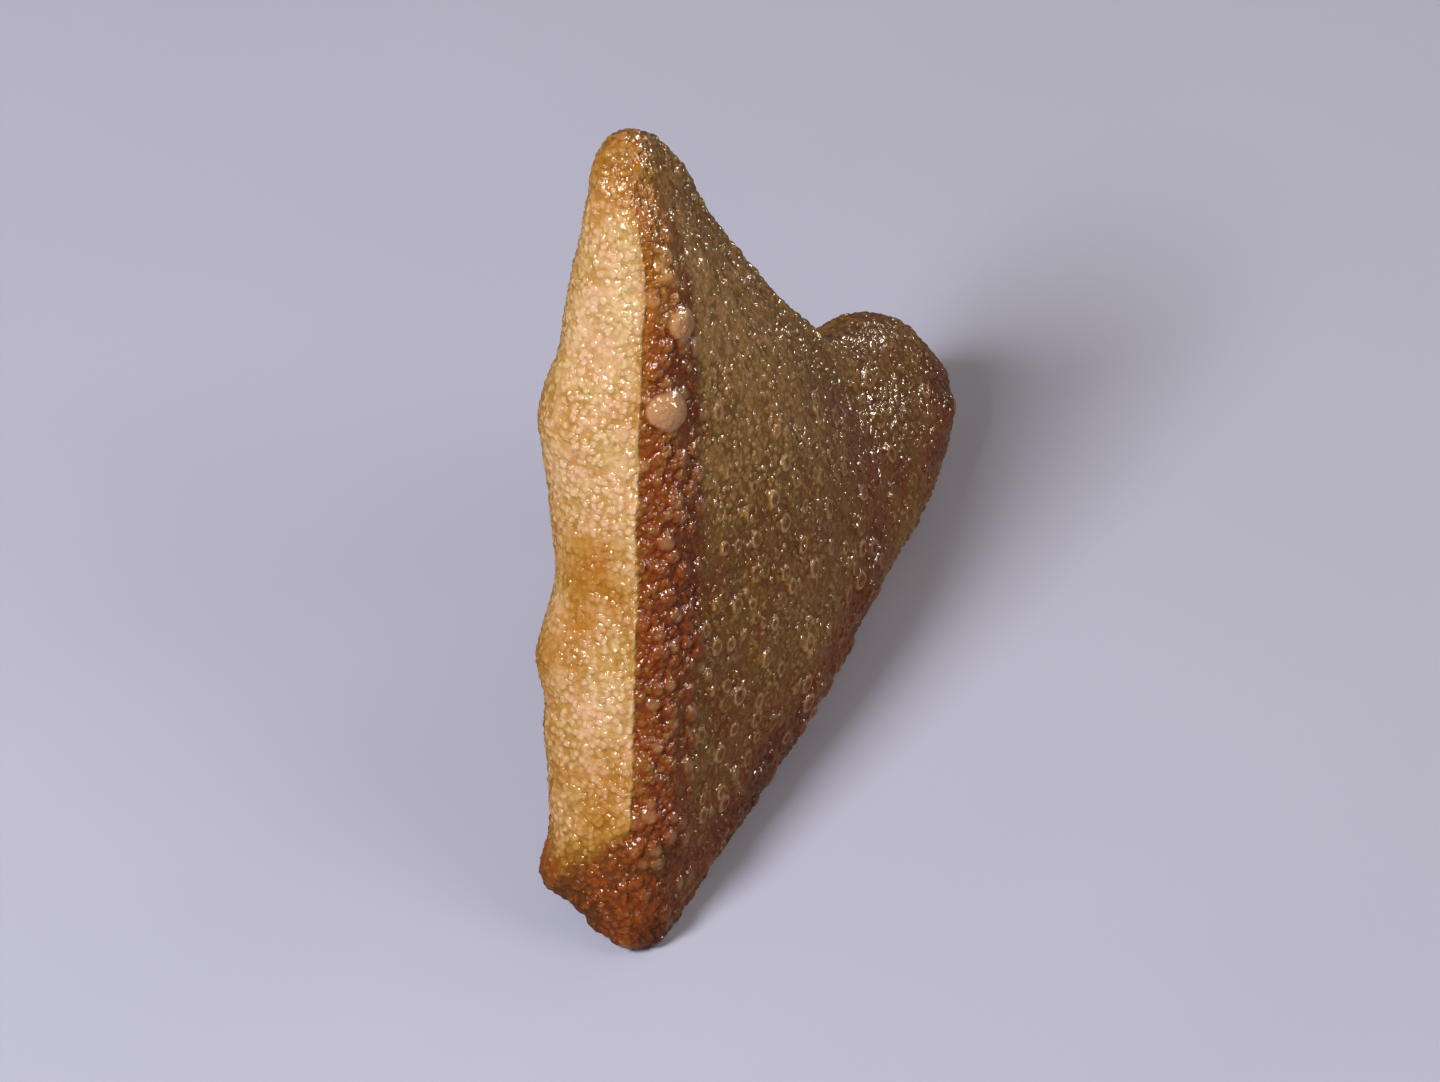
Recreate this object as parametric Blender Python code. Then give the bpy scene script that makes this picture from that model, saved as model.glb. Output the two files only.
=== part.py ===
"""A samosa: one closed parcel of folded pastry, fried, standing on its bottom edge.

The parcel is a rounded triangle. It starts as a triangular prism whose two caps become the faces and
whose three sides become the rounded rims. Each rim has a reach, how far it stands out in the plane of
the triangle, and a depth to either side of that plane. The whole parcel then leans to its hidden side
and is cut flat where it stands.
"""

import math

import bmesh
import bpy
import numpy as np
from mathutils import Matrix, Vector

MM = 0.001

# The middles of the three rounded corners, in millimetres: along the bottom edge, then up.
FRONT_CORNER = np.array((1.4, 3.0))
BACK_CORNER = np.array((87.0, 6.4))
TOP_CORNER = np.array((45.5, 84.2))

# Each rim, in millimetres, as (fraction of the edge, size) stations from its first corner to its second.
# hidden and shown are its depths to the two sides of the middle plane, reach is in the plane.
FRONT_RIM = {  # from the front corner to the top, where the last flap of dough is wrapped over the edge
    "hidden": ((0.0, 3.8), (0.02, 4.6), (0.05, 10.0), (0.5, 9.8), (0.8, 7.4), (1.0, 3.4)),
    "shown": ((0.0, 4.2), (0.12, 6.6), (0.35, 7.5), (0.6, 8.2), (0.85, 7.8), (1.0, 3.2)),
    "reach": ((0.0, 6.2), (0.04, 5.2), (0.10, 6.4), (0.6, 6.4), (1.0, 5.6)),
}
BACK_RIM = {  # from the back corner, a fat lobe, through a neck and up the thin fold to the top
    "hidden": ((0.0, 7.4), (0.12, 6.2), (0.26, 4.6), (0.5, 5.2), (1.0, 3.4)),
    "shown": ((0.0, 8.4), (0.12, 6.0), (0.26, 4.4), (0.5, 5.0), (0.8, 3.8), (1.0, 3.2)),
    "reach": ((0.0, 7.8), (0.12, 8.4), (0.18, 7.8), (0.28, 4.2), (0.7, 2.4), (1.0, 5.6)),
}
GROUND_RIM = {  # from the front corner to the back corner, underneath
    "hidden": ((0.0, 3.8), (0.25, 11.2), (0.65, 11.2), (1.0, 7.4)),
    "shown": ((0.0, 4.2), (0.2, 6.8), (0.45, 9.4), (0.85, 9.8), (1.0, 8.4)),
    "reach": ((0.0, 6.2), (0.3, 6.6), (0.7, 7.6), (1.0, 7.8)),
}
CORNER_SHARE = 0.05         # how much of an edge its corners' turn takes up
MIDDLE_PRODUCT = 1.0 / 27   # what the three shares multiply to in the middle of the triangle

FACE_RISE_SHOWN = 4.2       # how far each face bulges past its rims
FACE_RISE_HIDDEN = 1.2
FACE_FULLNESS = 0.8         # below 1 the bulge is flatter on top
RIM_SQUARENESS = 0.15       # 0 is an ellipse; the corners are round
STRIP_SQUARENESS = 0.25     # and the front rim's shown side, where the strip beside the flap lies
CORNER_ROUNDING = 6         # the squareness is gone this suddenly towards the corners

BACK_CURL = 0.8             # how far the back corner curls towards the shown side
BACK_CURL_FROM = 0.6
BACK_HOLLOW = 5.2           # how far the back edge runs inside a straight line, at the neck
BACK_HOLLOW_FROM = 0.10     # and where along that edge the hollow starts, is deepest and fades
BACK_HOLLOW_AT = 0.28
BACK_HOLLOW_FADES_FROM = 0.4
BACK_HOLLOW_FADES_BY = 0.9
VALLEY_DEPTH = 1.7          # the valley in the shown face between its bulge and the back lobe
VALLEY_RADIUS = 19.0
VALLEY_WIDTH = 6.0
VALLEY_FOOT = (2.0, 22.0)   # it rises out of the bottom rim between these heights

FLAP_LEVEL = 0.30           # where the flap's cut edge runs across the front rim, from -1 to 1
FLAP_LEVEL_TOP = 0.40       # and at the top, where it runs out to the shown side
FLAP_DRIFT_FROM = 0.6
FLAP_STEP = 0.04            # how much of the rim lies between the two loops of the step
FLAP_STEP_WIDTH = 0.4       # the step's width once the parcel is smoothed
FLAP_THICKNESS = 0.5
STRIP_DEPTH = 0.4           # the strip beside the flap's cut edge is sunk this far
STRIP_FADE = 8              # it is gone this suddenly at the top
FLAP_END = 0.07             # the flap stops this far above the front corner
FLAP_END_WIDTH = 0.03
FLAP_HIDDEN_WIDTH = 0.30    # how far the flap lies over the hidden face, as a share of the triangle

# Broad rises and hollows of the dough: shares of the front, back and top corner, level, radius, height.
LUMPS = (
    ((0.66, 0.00, 0.34), -0.70, 4.6, 1.3),
    ((0.76, 0.00, 0.24), -0.62, 3.0, 0.7),
    ((0.54, 0.00, 0.46), -0.75, 4.5, -1.0),
    ((0.34, 0.00, 0.66), -0.80, 7.0, 2.2),
    ((0.94, 0.00, 0.06), -0.80, 3.6, 2.2),
)
LEVEL_WEIGHT = 0.02         # how much the level counts beside the shares when a lump's middle is found

LEAN = math.radians(12.5)
SINK = 2.4                  # how much of the bottom rim the flat underside takes off

EDGE_SPANS = 36
FLAP_LOOPS = (FLAP_LEVEL - FLAP_STEP / 2, FLAP_LEVEL + FLAP_STEP / 2)
RIM_LEVELS = (-1.0, -0.86, -0.7, -0.52, -0.34, -0.16, 0.02, *FLAP_LOOPS, 0.42, 0.6, 0.78, 0.9, 1.0)
SMOOTHING_PASSES = 3

ON_RIM = 1e-4               # a point with less than this share of a corner lies on the rim across from it
ON_FACE = 0.999             # a point past this level lies on a face
TINY = 1e-6

CRUST_COLOUR = (0.46, 0.24, 0.09, 1.0)
CRUST_ROUGHNESS = 0.45


def unit(vector):
    """Return the vector at length 1."""
    return vector / np.linalg.norm(vector)


def step(start, end, value):
    """Rise smoothly from 0 at start to 1 at end."""
    share = np.clip((value - start) / (end - start), 0.0, 1.0)
    return share * share * (3.0 - 2.0 * share)


def hump(value, width):
    """Return a bell of height 1 at 0."""
    return np.exp(-((value / width) ** 2))


def outward(start, end):
    """Return the normal of an edge in the plane, on the right-hand side from its start to its end."""
    run = end - start
    return unit(np.array((run[1], -run[0])))


def stations(fraction, pairs):
    """Read a size off its stations along an edge."""
    places, sizes = zip(*pairs)
    return np.interp(fraction, places, sizes)


def triangular_prism():
    """Return a finely divided prism of height 2 over a triangle, and the triangle's corners in order."""
    prism = bmesh.new()
    bmesh.ops.create_cone(prism, cap_ends=True, cap_tris=False, segments=3, radius1=1.0, radius2=1.0,
                          depth=2.0)
    foot = [vert.co.xy.copy() for vert in prism.verts if vert.co.z < 0.0]
    foot.sort(key=lambda corner: math.atan2(corner.y, corner.x))
    uprights = [edge for edge in prism.edges if abs(edge.verts[0].co.z - edge.verts[1].co.z) > 1.0]
    bmesh.ops.subdivide_edges(prism, edges=uprights, cuts=len(RIM_LEVELS) - 2, use_grid_fill=True)
    levels = [edge for edge in prism.edges if abs(edge.verts[0].co.z - edge.verts[1].co.z) < TINY]
    bmesh.ops.subdivide_edges(prism, edges=levels, cuts=EDGE_SPANS - 1, use_grid_fill=True)
    even = np.linspace(-1.0, 1.0, len(RIM_LEVELS))
    for vert in prism.verts:
        vert.co.z = float(np.interp(vert.co.z, even, RIM_LEVELS))
    return prism, foot


def shares_of(points, corners):
    """Return each point's shares of the three corners, which add up to 1."""
    sides = np.array(((corners[0].x, corners[1].x, corners[2].x),
                      (corners[0].y, corners[1].y, corners[2].y),
                      (1.0, 1.0, 1.0)))
    flat = np.column_stack((points[:, :2], np.ones(len(points))))
    shares = np.linalg.solve(sides, flat.T).T
    return np.clip(shares, 0.0, 1.0)


def blend(rim_values, weights):
    """Mix the three rims' values, each by how near its edge is."""
    return sum(value * weight for value, weight in zip(rim_values, weights))


def parcel(shares, level):
    """Return the parcel's surface: along the bottom, up, and out of the shown face, in millimetres."""
    front, back, top = shares.T
    along_front = top / (front + top + TINY)
    along_back = top / (back + top + TINY)
    along_ground = back / (front + back + TINY)
    near = np.array((front * top + TINY * (front + top),
                     back * top + TINY * (back + top),
                     front * back + TINY * (front + back)))
    near /= near.sum(axis=0)

    def rim_size(name):
        """Return one size of the rims all over the parcel."""
        return blend((stations(along_front, FRONT_RIM[name]), stations(along_back, BACK_RIM[name]),
                      stations(along_ground, GROUND_RIM[name])), near)

    place = np.outer(front, FRONT_CORNER) + np.outer(back, BACK_CORNER) + np.outer(top, TOP_CORNER)
    on_rim = shares.min(axis=1) < ON_RIM
    bulge = np.clip(front * back * top / MIDDLE_PRODUCT, 0.0, 1.0) ** FACE_FULLNESS
    from_back = np.linalg.norm(place - BACK_CORNER, axis=1)
    valley = hump(from_back - VALLEY_RADIUS, VALLEY_WIDTH) * step(*VALLEY_FOOT, place[:, 1]) * ~on_rim
    hidden = rim_size("hidden") + FACE_RISE_HIDDEN * bulge
    shown = rim_size("shown") + FACE_RISE_SHOWN * bulge - VALLEY_DEPTH * valley

    front_out = outward(TOP_CORNER, FRONT_CORNER)
    back_out = outward(BACK_CORNER, TOP_CORNER)
    ground_out = outward(FRONT_CORNER, BACK_CORNER)
    fade = BACK_HOLLOW_FADES_BY * step(BACK_HOLLOW_FADES_FROM, 1.0, along_back)
    hollow = step(BACK_HOLLOW_FROM, BACK_HOLLOW_AT, along_back) * (1.0 - fade)
    place -= np.outer(BACK_HOLLOW * hollow * (back + top) ** 2, back_out)

    away = (np.outer(np.exp(-back / CORNER_SHARE), front_out)
            + np.outer(np.exp(-front / CORNER_SHARE), back_out)
            + np.outer(np.exp(-top / CORNER_SHARE), ground_out))
    away /= np.linalg.norm(away, axis=1)[:, None] + TINY
    drift = (FLAP_LEVEL_TOP - FLAP_LEVEL) * step(FLAP_DRIFT_FROM, 1.0, along_front) * near[0]
    level = level + drift * (1.0 - level ** 2) / (1.0 - FLAP_LEVEL ** 2)
    turn = level * math.pi / 2.0
    squareness = RIM_SQUARENESS + (STRIP_SQUARENESS - RIM_SQUARENESS) * near[0] * (level > 0.0)
    power = 1.0 - squareness * (1.0 - shares.max(axis=1) ** CORNER_ROUNDING)
    reach = np.where(on_rim, np.clip(np.cos(turn), 0.0, 1.0) ** power, 0.0)
    place += away * (rim_size("reach") * reach)[:, None]
    swing = np.sign(turn) * np.abs(np.sin(turn)) ** power
    middle = (shown - hidden) / 2.0
    half = (shown + hidden) / 2.0
    depth = middle + half * swing + BACK_CURL * step(BACK_CURL_FROM, 1.0, back)
    return np.column_stack((place, depth))


def flap_height(shares, level):
    """Return how far the last flap raises the surface and the strip beside it lowers it, in millimetres."""
    front, back, top = shares.T
    along_front = top / (front + top + TINY)
    on_front_rim = back < ON_RIM
    wrapped = (level < FLAP_LEVEL) & on_front_rim
    laid_over = (level < -ON_FACE) & (back < FLAP_HIDDEN_WIDTH)
    open_end = step(FLAP_END - FLAP_END_WIDTH, FLAP_END + FLAP_END_WIDTH, along_front)
    beside = (level > FLAP_LEVEL) & on_front_rim
    strip = beside * (1.0 - step(FLAP_LOOPS[1], 1.0, level)) * (1.0 - along_front ** STRIP_FADE)
    return FLAP_THICKNESS * (wrapped | laid_over) * open_end - STRIP_DEPTH * strip


def lump_height(points, shares, level):
    """Return how far the lumps raise or lower the surface, in millimetres."""
    height = np.zeros(len(points))
    for spot, spot_level, radius, rise in LUMPS:
        miss = ((shares - np.array(spot)) ** 2).sum(axis=1) + LEVEL_WEIGHT * (level - spot_level) ** 2
        away = np.linalg.norm(points - points[np.argmin(miss)], axis=1)
        height += rise * hump(away, radius)
    return height


def tighten_flap_step(pastry, shares, level):
    """Bring the two loops at the flap's cut edge close together, so that the step is crisp."""
    for edge in pastry.edges:
        low, high = sorted(edge.verts, key=lambda vert: level[vert.index])
        miss = abs(level[low.index] - FLAP_LOOPS[0]) + abs(level[high.index] - FLAP_LOOPS[1])
        if miss > ON_RIM or shares[low.index][1] > ON_RIM or shares[high.index][1] > ON_RIM:
            continue
        middle = (low.co + high.co) / 2.0
        across = (high.co - low.co).normalized() * (FLAP_STEP_WIDTH / 2.0 * MM)
        low.co = middle - across
        high.co = middle + across


def read_vectors(verts, name):
    """Return a vector of every vertex as an array."""
    return np.array([getattr(vert, name)[:] for vert in verts])


def build_samosa():
    """Make the parcel's mesh: the form, the flap's step, the lean and the flat underside."""
    pastry, corners = triangular_prism()
    pastry.verts.ensure_lookup_table()
    prism_points = read_vectors(pastry.verts, "co")
    shares = shares_of(prism_points, corners)
    level = prism_points[:, 2]
    for vert, point in zip(pastry.verts, parcel(shares, level)):
        # along the bottom is +Y, up is +Z, the shown face looks along +X
        vert.co = Vector((point[2], point[0], point[1])) * MM
    for _ in range(SMOOTHING_PASSES):
        bmesh.ops.smooth_vert(pastry, verts=pastry.verts, factor=0.5,
                              use_axis_x=True, use_axis_y=True, use_axis_z=True)
    pastry.verts.index_update()
    tighten_flap_step(pastry, shares, level)
    bmesh.ops.recalc_face_normals(pastry, faces=pastry.faces)
    pastry.normal_update()
    relief = flap_height(shares, level) + lump_height(read_vectors(pastry.verts, "co") / MM, shares, level)
    for vert, height in zip(pastry.verts, relief):
        vert.co += vert.normal * (height * MM)

    bmesh.ops.rotate(pastry, verts=pastry.verts, cent=(0.0, 0.0, 0.0),
                     matrix=Matrix.Rotation(-LEAN, 3, "Y"))
    lowest = min(vert.co.z for vert in pastry.verts)
    bmesh.ops.translate(pastry, verts=pastry.verts, vec=(0.0, 0.0, -lowest - SINK * MM))
    whole = pastry.verts[:] + pastry.edges[:] + pastry.faces[:]
    cut = bmesh.ops.bisect_plane(pastry, geom=whole, dist=TINY, plane_co=(0.0, 0.0, 0.0),
                                 plane_no=(0.0, 0.0, 1.0), clear_inner=True)
    rim = [piece for piece in cut["geom_cut"] if isinstance(piece, bmesh.types.BMEdge)]
    bmesh.ops.contextual_create(pastry, geom=rim)
    places = read_vectors(pastry.verts, "co")
    middle = (places.min(axis=0) + places.max(axis=0)) / 2.0
    bmesh.ops.translate(pastry, verts=pastry.verts, vec=(-middle[0], -middle[1], 0.0))
    bmesh.ops.recalc_face_normals(pastry, faces=pastry.faces)
    return pastry


def crust_material():
    """Return the golden crust's material."""
    material = bpy.data.materials.new("fried_pastry")
    material.use_nodes = True
    shader = material.node_tree.nodes["Principled BSDF"]
    shader.inputs["Base Color"].default_value = CRUST_COLOUR
    shader.inputs["Roughness"].default_value = CRUST_ROUGHNESS
    shader.inputs["Metallic"].default_value = 0.0
    return material


def main():
    """Empty the scene and model the samosa in its own collection."""
    for leftover in list(bpy.data.objects):
        bpy.data.objects.remove(leftover, do_unlink=True)
    collection = bpy.data.collections.new("samosa")
    bpy.context.scene.collection.children.link(collection)
    pastry = build_samosa()
    mesh = bpy.data.meshes.new("samosa")
    pastry.to_mesh(mesh)
    pastry.free()
    mesh.materials.append(crust_material())
    mesh.shade_smooth()
    collection.objects.link(bpy.data.objects.new("samosa", mesh))


main()
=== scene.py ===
"""A fried samosa on a plain, pale studio floor.

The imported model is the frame: it says where the parcel stands and how large it is. This script models
the same parcel again as crust, with its wrapped flap, blisters and browning, and lights it.
"""

from __future__ import annotations

import logging
import math
from dataclasses import dataclass, field
from enum import Enum

import bmesh
import bpy
import numpy as np
from mathutils import Matrix, Vector, noise
from mathutils.kdtree import KDTree


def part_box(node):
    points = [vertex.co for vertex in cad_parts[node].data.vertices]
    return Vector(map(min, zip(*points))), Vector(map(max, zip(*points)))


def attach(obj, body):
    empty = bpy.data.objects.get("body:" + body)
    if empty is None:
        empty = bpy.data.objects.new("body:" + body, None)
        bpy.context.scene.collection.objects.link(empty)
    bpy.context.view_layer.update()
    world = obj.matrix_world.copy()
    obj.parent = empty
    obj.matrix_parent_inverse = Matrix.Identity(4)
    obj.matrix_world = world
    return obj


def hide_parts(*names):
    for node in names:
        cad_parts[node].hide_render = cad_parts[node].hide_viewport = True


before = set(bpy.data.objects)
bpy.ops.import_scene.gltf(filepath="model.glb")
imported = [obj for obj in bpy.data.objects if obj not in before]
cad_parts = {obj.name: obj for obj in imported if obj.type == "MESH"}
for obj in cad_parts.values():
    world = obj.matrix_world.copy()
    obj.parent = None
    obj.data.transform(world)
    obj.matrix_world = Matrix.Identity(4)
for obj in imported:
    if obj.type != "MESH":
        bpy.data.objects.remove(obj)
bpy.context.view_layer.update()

MM = 0.001
TINY = 1e-6
ON_RIM = 1e-4
NODE = "samosa"

LOG = logging.getLogger("samosa")

Stations = tuple[tuple[float, float], ...]


class Zone(Enum):
    """The parts of the crust that fried differently; the lower face and the bottom edge are also darkened as
    painted shade.
    """

    BAND = "band"
    STRIP = "strip"
    SHOWN_FACE = "shown_face"
    LOWER_FACE = "lower_face"
    HIDDEN_FACE = "hidden_face"
    BOTTOM_EDGE = "bottom_edge"
    BACK_EDGE = "back_edge"
    KNOB = "knob"
    FRONT_TIP = "front_tip"
    TOP_TIP = "top_tip"


def linear_colour(hex_value: str) -> tuple[float, float, float, float]:
    """Turn an sRGB hex colour into Blender's linear colour.

    Args:
        hex_value: The colour, such as "#C49555".

    Returns:
        Red, green, blue and an alpha of 1.
    """
    channels = []
    for start in (1, 3, 5):
        value = int(hex_value[start:start + 2], 16) / 255.0
        channels.append(value / 12.92 if value <= 0.04045 else ((value + 0.055) / 1.055) ** 2.4)
    return (channels[0], channels[1], channels[2], 1.0)


def cells_of(size_mm: float) -> float:
    """Return the texture scale at which one cell is this many millimetres wide."""
    return 1.0 / (size_mm * MM)


def rise(start: float, end: float, value: np.ndarray) -> np.ndarray:
    """Rise smoothly from 0 at start to 1 at end."""
    share = np.clip((value - start) / (end - start), 0.0, 1.0)
    return share * share * (3.0 - 2.0 * share)


def hump(value: np.ndarray, width: float) -> np.ndarray:
    """Return a bell of height 1 where value is 0."""
    return np.exp(-((value / width) ** 2))


def read_stations(fraction: np.ndarray, stations: Stations) -> np.ndarray:
    """Read a size off its stations along an edge."""
    places, sizes = zip(*stations)
    return np.interp(fraction, places, sizes)


def wander(points: np.ndarray, cell_mm: float, seed: float, stretch: tuple[float, float, float] = (1, 1, 1)
           ) -> np.ndarray:
    """Read a smooth random field between -1 and 1.

    Args:
        points: Places in millimetres, one row each.
        cell_mm: About how far apart its hills are.
        seed: Picks one field out of many.
        stretch: How much longer the hills are along x, y and z.

    Returns:
        One value for each point.
    """
    scaled = points / (cell_mm * np.array(stretch)) + seed * 17.31
    return np.array([noise.noise(Vector(row)) for row in scaled.tolist()])


def add_node(tree: bpy.types.NodeTree, kind: str, settings: dict | None = None,
             sockets: dict | None = None) -> bpy.types.Node:
    """Add one shader node.

    Args:
        tree: The node tree that takes it.
        kind: The node's type, such as "ShaderNodeTexNoise".
        settings: Properties of the node, by name.
        sockets: Inputs by name or number, each with a value, or with the output that it is linked to.

    Returns:
        The new node.
    """
    node = tree.nodes.new(kind)
    for name, value in (settings or {}).items():
        setattr(node, name, value)
    for name, value in (sockets or {}).items():
        if isinstance(value, bpy.types.NodeSocket):
            tree.links.new(value, node.inputs[name])
        else:
            node.inputs[name].default_value = value
    return node


@dataclass(frozen=True)
class Rim:
    """One folded edge of the parcel, by stations from its first corner to its second, in millimetres.

    hidden and shown are its depths to either side of the middle plane, and reach lies in that plane.
    """

    hidden: Stations
    shown: Stations
    reach: Stations


@dataclass
class ParcelForm:
    """The folded parcel: a rounded triangle with a wrapped front edge and a fat back corner.

    Depth runs along +X to the shown face, the bottom edge along +Y, and up is +Z, in millimetres.
    """

    front_corner: tuple[float, float] = (1.4, 3.0)
    back_corner: tuple[float, float] = (87.0, 6.4)
    top_corner: tuple[float, float] = (45.5, 84.2)
    front_rim: Rim = Rim(
        hidden=((0.0, 3.8), (0.02, 4.6), (0.05, 10.0), (0.5, 9.8), (0.8, 7.4), (1.0, 3.4)),
        shown=((0.0, 4.2), (0.12, 6.6), (0.35, 7.5), (0.6, 8.2), (0.85, 7.8), (1.0, 3.2)),
        reach=((0.0, 6.2), (0.04, 5.2), (0.10, 6.4), (0.6, 6.4), (1.0, 5.6)))
    back_rim: Rim = Rim(
        hidden=((0.0, 7.4), (0.12, 6.2), (0.26, 4.6), (0.5, 5.2), (1.0, 3.4)),
        shown=((0.0, 8.4), (0.12, 6.0), (0.26, 4.4), (0.5, 5.0), (0.8, 3.8), (1.0, 3.2)),
        reach=((0.0, 7.8), (0.12, 8.4), (0.18, 7.8), (0.28, 4.2), (0.7, 2.4), (1.0, 5.6)))
    ground_rim: Rim = Rim(
        hidden=((0.0, 3.8), (0.25, 11.2), (0.65, 11.2), (1.0, 7.4)),
        shown=((0.0, 4.2), (0.2, 6.8), (0.45, 9.4), (0.85, 9.8), (1.0, 8.4)),
        reach=((0.0, 6.2), (0.3, 6.6), (0.7, 7.6), (1.0, 7.8)))
    corner_share: float = 0.05
    face_rise_shown: float = 4.2
    face_rise_hidden: float = 1.2
    face_fullness: float = 0.8
    rim_squareness: float = 0.15
    strip_squareness: float = 0.25
    back_curl: float = 0.8
    back_hollow: float = 5.2
    back_hollow_from: float = 0.10
    back_hollow_at: float = 0.28
    valley_depth: float = 1.7
    valley_radius: float = 19.0
    valley_width: float = 6.0
    flap_level: float = 0.30
    flap_level_top: float = 0.40
    flap_loops: tuple[float, float] = (0.27, 0.33)
    flap_loop_gap: float = 0.9
    lean: float = math.radians(12.5)
    sink: float = 2.4
    cut_edge_wave: float = 0.9
    cut_edge_wave_length: float = 9.0
    edge_spans: int = 42
    rim_levels: tuple[float, ...] = (-1.0, -0.84, -0.68, -0.52, -0.36, -0.20, -0.04, 0.13, 0.27, 0.33, 0.46,
                                     0.60, 0.74, 0.87, 1.0)
    smoothing_passes: int = 4

    def prism(self) -> tuple[bmesh.types.BMesh, np.ndarray]:
        """Make a finely divided prism over a triangle, its height running from -1 to 1.

        Returns:
            The prism, and the triangle's front, back and top corners, one row each.
        """
        prism = bmesh.new()
        bmesh.ops.create_cone(prism, cap_ends=True, cap_tris=False, segments=3, radius1=1.0, radius2=1.0,
                              depth=2.0)
        foot = [vert.co.xy.copy() for vert in prism.verts if vert.co.z < 0.0]
        foot.sort(key=lambda corner: math.atan2(corner.y, corner.x))
        uprights = [edge for edge in prism.edges if abs(edge.verts[0].co.z - edge.verts[1].co.z) > 1.0]
        bmesh.ops.subdivide_edges(prism, edges=uprights, cuts=len(self.rim_levels) - 2, use_grid_fill=True)
        flat = [edge for edge in prism.edges if abs(edge.verts[0].co.z - edge.verts[1].co.z) < TINY]
        bmesh.ops.subdivide_edges(prism, edges=flat, cuts=self.edge_spans - 1, use_grid_fill=True)
        even = np.linspace(-1.0, 1.0, len(self.rim_levels))
        for vert in prism.verts:
            vert.co.z = float(np.interp(vert.co.z, even, self.rim_levels))
        return prism, np.array([corner[:] for corner in foot])

    def rim_size(self, name: str, along: np.ndarray, near: np.ndarray) -> np.ndarray:
        """Blend one size of the three rims.

        Args:
            name: "hidden", "shown" or "reach".
            along: Three rows, the places along the front, back and ground rims.
            near: Three rows, how much each rim counts, together 1.

        Returns:
            The size at each point.
        """
        rims = (self.front_rim, self.back_rim, self.ground_rim)
        sizes = [read_stations(place, getattr(rim, name)) for rim, place in zip(rims, along)]
        return np.einsum("ij,ij->j", np.array(sizes), near)

    def place(self, shares: np.ndarray, level: np.ndarray) -> np.ndarray:
        """Fold the flat prism into the parcel.

        Args:
            shares: How much of the front, back and top corner is in each point.
            level: From -1 on the hidden face to 1 on the shown face.

        Returns:
            Depth, along and up of each point.
        """
        corners = np.array((self.front_corner, self.back_corner, self.top_corner))
        front, back, top = shares.T
        along = np.array((top / (front + top + TINY), top / (back + top + TINY), back / (front + back + TINY)))
        near = np.array((front * top + TINY * (front + top), back * top + TINY * (back + top),
                         front * back + TINY * (front + back)))
        near /= near.sum(axis=0)
        flat = shares @ corners
        on_rim = shares.min(axis=1) < ON_RIM
        bulge = np.clip(27.0 * front * back * top, 0.0, 1.0) ** self.face_fullness
        from_back = np.linalg.norm(flat - corners[1], axis=1)
        valley = hump(from_back - self.valley_radius, self.valley_width) * rise(2.0, 22.0, flat[:, 1]) * ~on_rim
        hidden = self.rim_size("hidden", along, near) + self.face_rise_hidden * bulge
        shown = self.rim_size("shown", along, near) + self.face_rise_shown * bulge - self.valley_depth * valley
        runs = np.roll(corners, -1, axis=0) - corners
        ground_out, back_out, front_out = [np.array((run[1], -run[0])) / np.linalg.norm(run) for run in runs]
        hollow = rise(self.back_hollow_from, self.back_hollow_at, along[1]) * (1.0 - 0.9 * rise(0.4, 1.0, along[1]))
        flat = flat - np.outer(self.back_hollow * hollow * (back + top) ** 2, back_out)
        away = (np.outer(np.exp(-back / self.corner_share), front_out)
                + np.outer(np.exp(-front / self.corner_share), back_out)
                + np.outer(np.exp(-top / self.corner_share), ground_out))
        away /= np.linalg.norm(away, axis=1)[:, None]
        drift = (self.flap_level_top - self.flap_level) * rise(0.6, 1.0, along[0]) * near[0]
        level = level + drift * (1.0 - level ** 2) / (1.0 - self.flap_level ** 2)
        turn = level * math.pi / 2.0
        squareness = self.rim_squareness + (self.strip_squareness - self.rim_squareness) * near[0] * (level > 0.0)
        power = 1.0 - squareness * (1.0 - shares.max(axis=1) ** 12)
        reach = np.where(on_rim, np.clip(np.cos(turn), 0.0, 1.0) ** power, 0.0)
        flat = flat + away * (self.rim_size("reach", along, near) * reach)[:, None]
        swing = np.sign(turn) * np.abs(np.sin(turn)) ** power
        depth = (shown - hidden) / 2.0 + (shown + hidden) / 2.0 * swing + self.back_curl * rise(0.6, 1.0, back)
        return np.column_stack((depth, flat))

    def cage(self) -> bmesh.types.BMesh:
        """Make the parcel as a coarse cage that carries its corner shares and level.

        Returns:
            The cage, in millimetres, ready to be subdivided.
        """
        cage, corners = self.prism()
        flat = np.array([vert.co.xy[:] for vert in cage.verts])
        level = np.array([vert.co.z for vert in cage.verts])
        solve = np.linalg.inv(np.vstack((corners.T, np.ones(3))))
        shares = np.clip(np.column_stack((flat, np.ones(len(flat)))) @ solve.T, 0.0, 1.0)
        layers = [cage.verts.layers.float.new(name) for name in ("front", "back", "top", "level")]
        places = self.place(shares, level)
        for vert, row, values in zip(cage.verts, places, np.column_stack((shares, level))):
            vert.co = row
            for layer, value in zip(layers, values):
                vert[layer] = value
        for _ in range(self.smoothing_passes):
            bmesh.ops.smooth_vert(cage, verts=cage.verts, factor=0.5, use_axis_x=True, use_axis_y=True,
                                  use_axis_z=True)
        self.tighten_flap(cage, layers[1], layers[3])
        bmesh.ops.recalc_face_normals(cage, faces=cage.faces)
        return cage

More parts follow.
